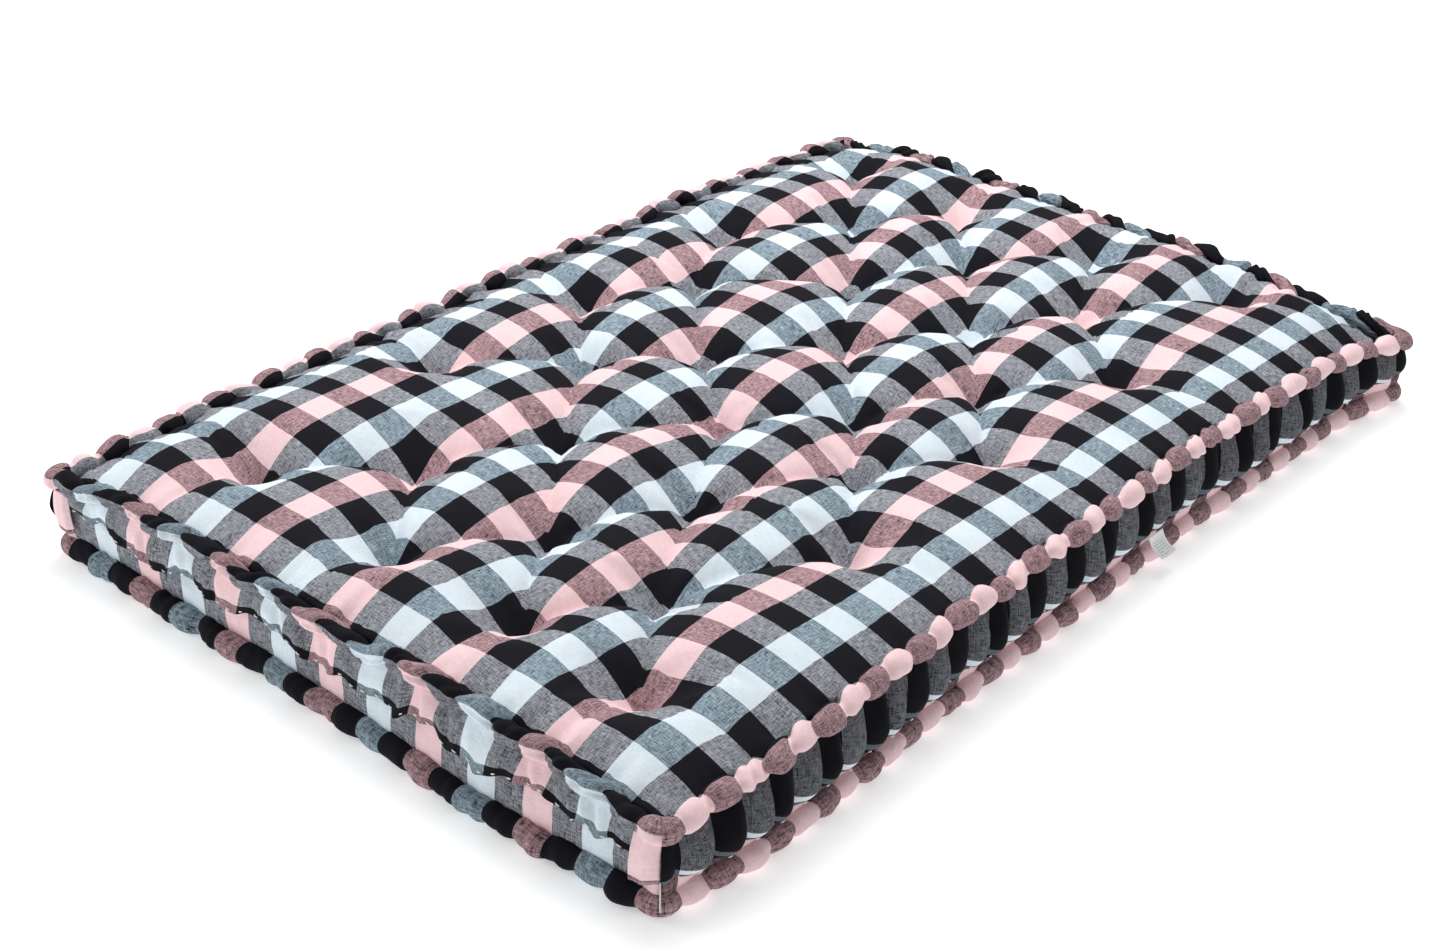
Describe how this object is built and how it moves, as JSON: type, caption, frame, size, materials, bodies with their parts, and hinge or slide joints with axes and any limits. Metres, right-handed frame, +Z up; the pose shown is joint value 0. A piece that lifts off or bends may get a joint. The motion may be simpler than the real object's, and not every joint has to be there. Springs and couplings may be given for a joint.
{
  "type": "tufted cotton futon mattress",
  "caption": "Hand-tufted cotton futon mattress in a woven plaid cover, with rolled edges, folded side cloth and a hinged care label.",
  "frame": {"origin": "middle of the underside, on the surface the mattress lies on", "axes": "+Y along the length, +X across the width towards the side with the care label, +Z up through the thickness"},
  "size_m": [1.2201, 1.88, 0.186],
  "materials": {
    "plaid_face": "soft woven cotton plaid in black, white, pink and pale blue",
    "plaid_short_side": "the same cloth, gathered",
    "plaid_long_side": "black band of the same cloth, gathered",
    "pink_edge": "pink band of the same cloth",
    "dark_edge": "dark band of the same cloth",
    "cotton_filling": "matt carded cotton",
    "twine": "matt twisted cotton",
    "sewing_thread": "matt cotton thread",
    "label_tape": "smooth woven tape"
  },
  "bodies": {
    "mattress": {"top_panel": "plaid_face", "bottom_panel": "plaid_face", "top_drop_front": "plaid_short_side", "top_drop_back": "plaid_short_side", "top_drop_left": "plaid_long_side", "top_drop_right": "plaid_long_side", "lower_wall_front": "plaid_short_side", "lower_wall_back": "plaid_short_side", "lower_wall_left": "pink_edge", "lower_wall_right": "pink_edge", "corner_folds": "pink_edge", "top_roll_front": "dark_edge", "top_roll_back": "dark_edge", "top_roll_left": "pink_edge", "top_roll_right": "pink_edge", "bottom_roll_front": "dark_edge", "bottom_roll_back": "dark_edge", "bottom_roll_left": "pink_edge", "bottom_roll_right": "pink_edge", "top_roll_filling": "cotton_filling", "bottom_roll_filling": "cotton_filling", "batting_lower": "cotton_filling", "batting_middle": "cotton_filling", "batting_upper": "cotton_filling", "tuft_ties": "twine", "tuft_stitches": "twine", "tuft_knots": "twine", "top_roll_stitching": "sewing_thread", "bottom_roll_stitching": "sewing_thread", "hem_stitching": "sewing_thread", "label_stitching": "sewing_thread", "thread_tail": "sewing_thread"},
    "label": {"care_label": "label_tape"}
  },
  "joints": [
    {"name": "label_flap", "type": "hinge", "parent": "mattress", "child": "label", "pos_m": [0.604, 0.18, 0.06], "axis": [0, -1, 0], "range_deg": [0, 100]}
  ]
}
